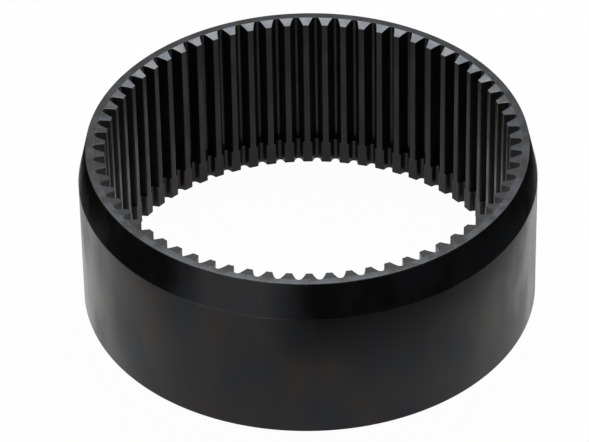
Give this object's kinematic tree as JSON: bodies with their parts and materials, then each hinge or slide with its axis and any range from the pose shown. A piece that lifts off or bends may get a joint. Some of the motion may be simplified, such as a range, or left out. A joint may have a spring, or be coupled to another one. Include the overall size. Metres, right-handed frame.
{
  "type": "internal ring gear",
  "caption": "Steel ring with straight internal gear teeth over its whole height, a band of thicker teeth at its lower end and a lead-in cone around its upper end.",
  "frame": {"origin": "centre of the lower end face, on the gear axis", "axes": "+Z along the gear axis, from the band of thicker teeth up to the coned end; +X through the middle of a tooth space"},
  "size_m": [0.22, 0.22, 0.086],
  "materials": {
    "blackened_steel": "black oxide, satin, with fine turning marks"
  },
  "bodies": {
    "root": {"ring_gear": "blackened_steel"}
  },
  "joints": []
}
